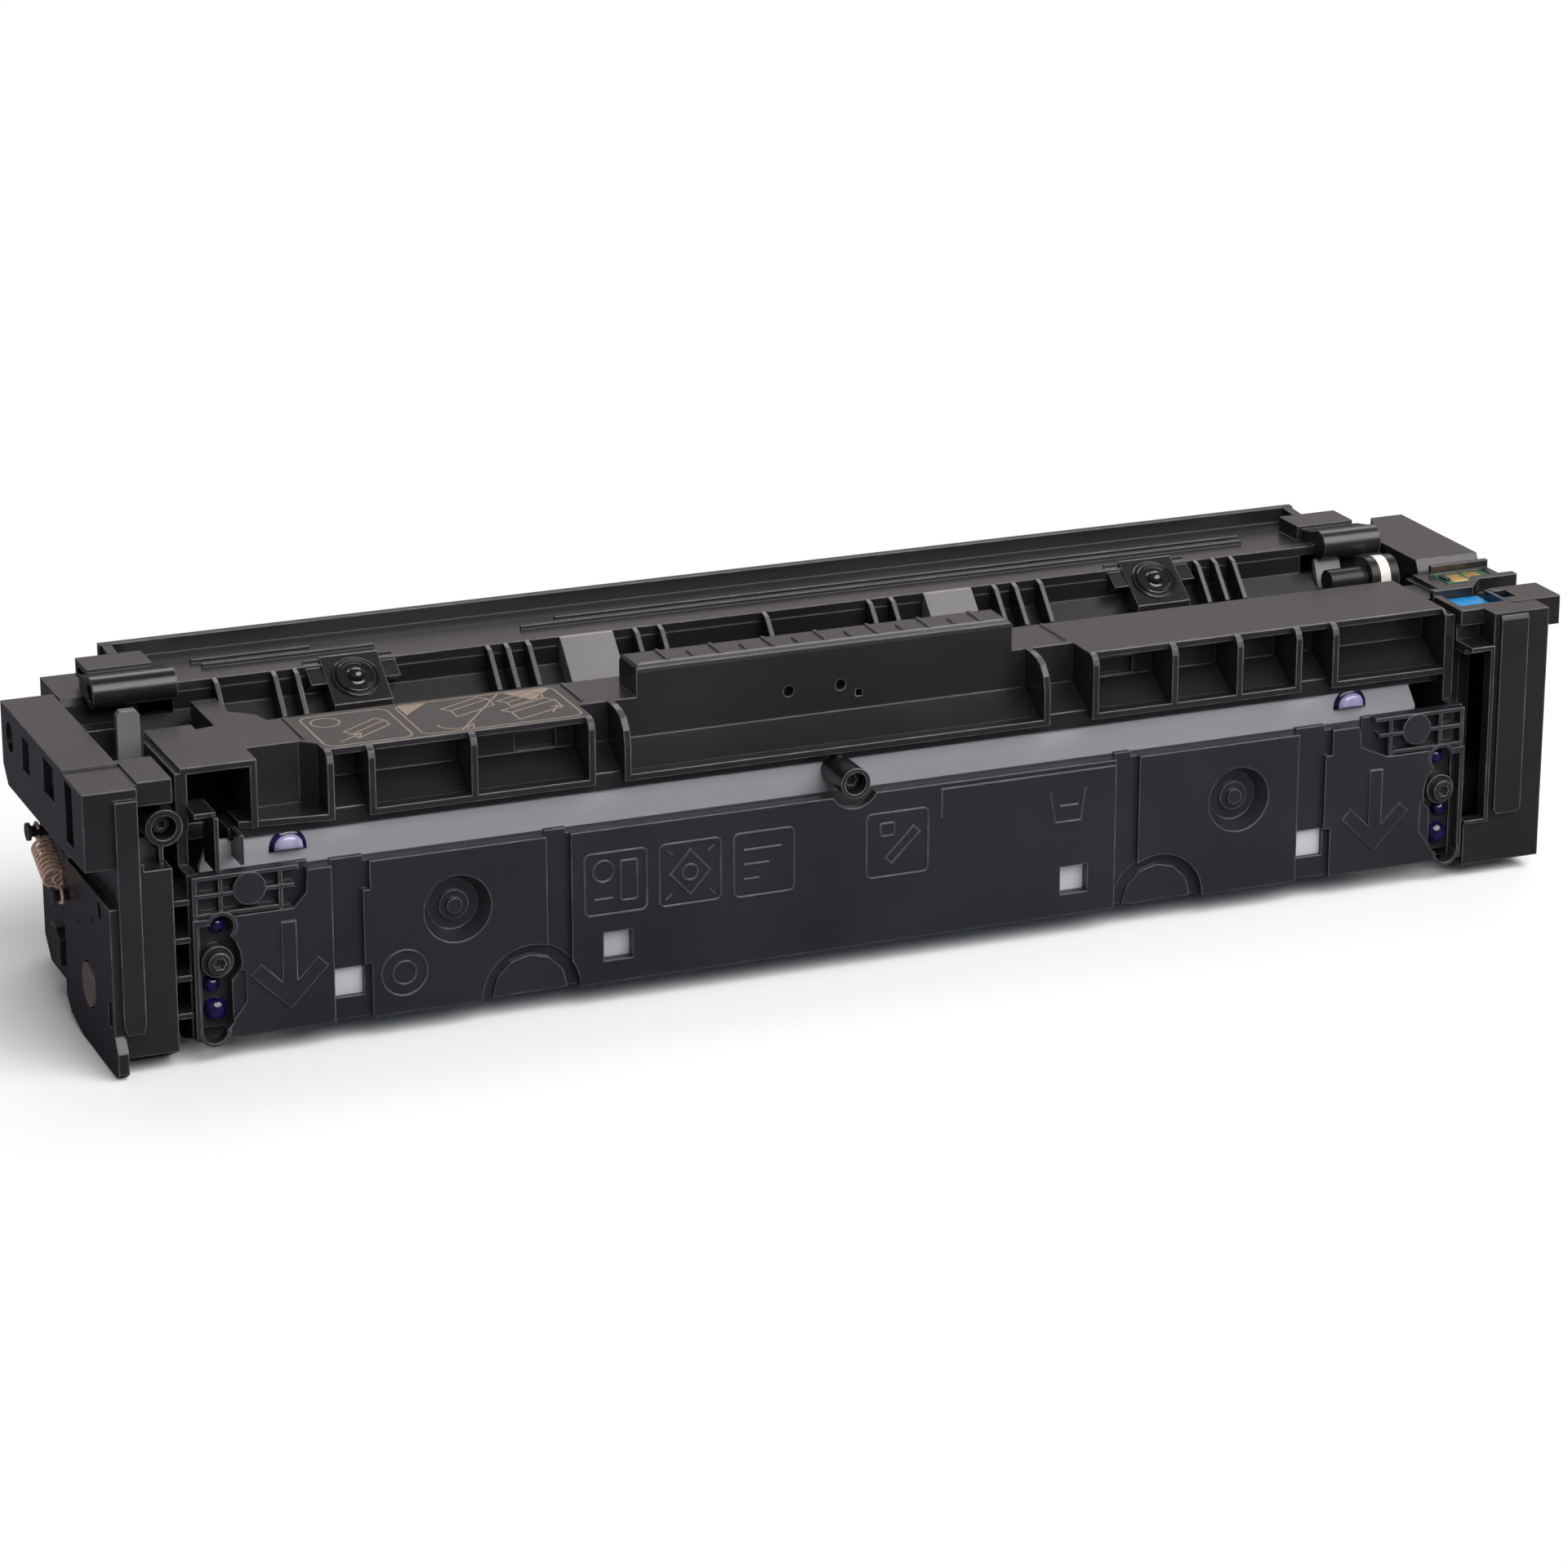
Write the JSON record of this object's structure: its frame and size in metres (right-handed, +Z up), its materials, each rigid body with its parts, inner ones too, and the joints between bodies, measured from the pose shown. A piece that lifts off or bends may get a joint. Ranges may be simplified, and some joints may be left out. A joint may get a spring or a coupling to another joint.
{
  "type": "toner cartridge",
  "caption": "Black all-in-one laser printer toner cartridge with grip handle, panelled front wall, side arms, drum, swinging toner hopper and rear hinge barrels.",
  "frame": {"origin": "bottom centre of the bounding box", "axes": "+X along the cartridge to the end with the memory chip, +Y from the drum side to the hopper's rear wall, +Z up from the surface that it lies on"},
  "size_m": [0.336, 0.08, 0.0671],
  "materials": {
    "black_moulding": "satin moulded, slightly glossy on the edges",
    "black_panel": "satin moulded",
    "lid_plastic": "semi-gloss moulded",
    "strip_metal": "satin grey sheet",
    "steel": "ground",
    "drum_coating": "smooth coated",
    "rubber_black": "ground rubber",
    "blade_rubber": "smooth",
    "foam": "open foam",
    "pale_sheet": "plain pale grey",
    "gear_white": "moulded",
    "copper_steel": "copper coloured wire",
    "seal": "translucent blue-violet",
    "grey_gloss": "glossy grey",
    "circuit_green": "lacquered board",
    "cyan_plastic": "moulded"
  },
  "bodies": {
    "drum_unit": {"drum_frame": "black_moulding", "front_panel": "black_panel", "left_end_cover": "black_moulding", "right_end_cover": "black_moulding", "blade_bracket": "strip_metal", "cleaning_blade": "blade_rubber", "window_plate": "pale_sheet", "recovery_sheet": "pale_sheet", "drum_pin": "copper_steel", "drum_bearing": "gear_white", "charge_bearing_left": "gear_white", "charge_bearing_right": "gear_white", "memory_chip": "circuit_green", "colour_key": "cyan_plastic", "end_seals_left": "seal", "end_seals_right": "seal", "screws": "steel", "tension_spring_left": "copper_steel", "tension_spring_right": "copper_steel"},
    "drum": {"drum_tube": "drum_coating", "drum_flange_left": "gear_white", "drum_flange_right": "gear_white"},
    "charge_roller": {"charge_roller_rubber": "rubber_black", "charge_roller_shaft": "steel"},
    "developer_unit": {"toner_hopper": "black_moulding", "hopper_lid": "lid_plastic", "lid_inserts": "grey_gloss", "lid_domes": "lid_plastic", "developer_cover_left": "black_moulding", "developer_cover_right": "black_moulding", "contact_tab": "grey_gloss", "doctor_blade": "steel", "filling_cap": "lid_plastic", "stub_bushing": "gear_white"},
    "developer_roller_body": {"developer_roller": "rubber_black", "roller_gear": "gear_white"},
    "supply_roller_body": {"supply_roller": "foam", "supply_gear": "gear_white"},
    "agitator_body": {"agitator": "gear_white", "stir_gear": "gear_white"},
    "drive": {"drive_gear": "gear_white"}
  },
  "joints": [
    {"name": "drum_spin", "type": "hinge", "parent": "drum_unit", "child": "drum", "pos_m": [0, -0.0195, 0.0135], "axis": [1, 0, 0], "continuous": true},
    {"name": "charge_spin", "type": "hinge", "parent": "drum_unit", "child": "charge_roller", "pos_m": [0, -0.0273, 0.0281], "axis": [1, 0, 0], "continuous": true},
    {"name": "developer_swing", "type": "hinge", "parent": "drum_unit", "child": "developer_unit", "pos_m": [0, 0.0195, 0.0545], "axis": [1, 0, 0], "range_deg": [0, 3], "stiffness_Nm_per_rad": 2, "springref_deg": -14.32, "deforming": ["tension_spring_left", "tension_spring_right"]},
    {"name": "drive_spin", "type": "hinge", "parent": "developer_unit", "child": "drive", "pos_m": [0, 0.01154, 0.02677], "axis": [1, 0, 0], "continuous": true},
    {"name": "developer_roller_spin", "type": "hinge", "parent": "developer_unit", "child": "developer_roller_body", "pos_m": [0, -0.0015, 0.0175], "axis": [1, 0, 0], "continuous": true},
    {"name": "supply_roller_spin", "type": "hinge", "parent": "developer_unit", "child": "supply_roller_body", "pos_m": [0, 0.0084, 0.0121], "axis": [1, 0, 0], "continuous": true},
    {"name": "agitator_spin", "type": "hinge", "parent": "developer_unit", "child": "agitator_body", "pos_m": [0, 0.02506, 0.03623], "axis": [1, 0, 0], "continuous": true}
  ],
  "couplings": [
    {"joint": "charge_spin", "follows": "drum_spin", "ratio": -2.8235},
    {"joint": "drive_spin", "follows": "developer_roller_spin", "ratio": -0.77778},
    {"joint": "supply_roller_spin", "follows": "developer_roller_spin", "ratio": 1.1667},
    {"joint": "agitator_spin", "follows": "developer_roller_spin", "ratio": 0.93333}
  ]
}
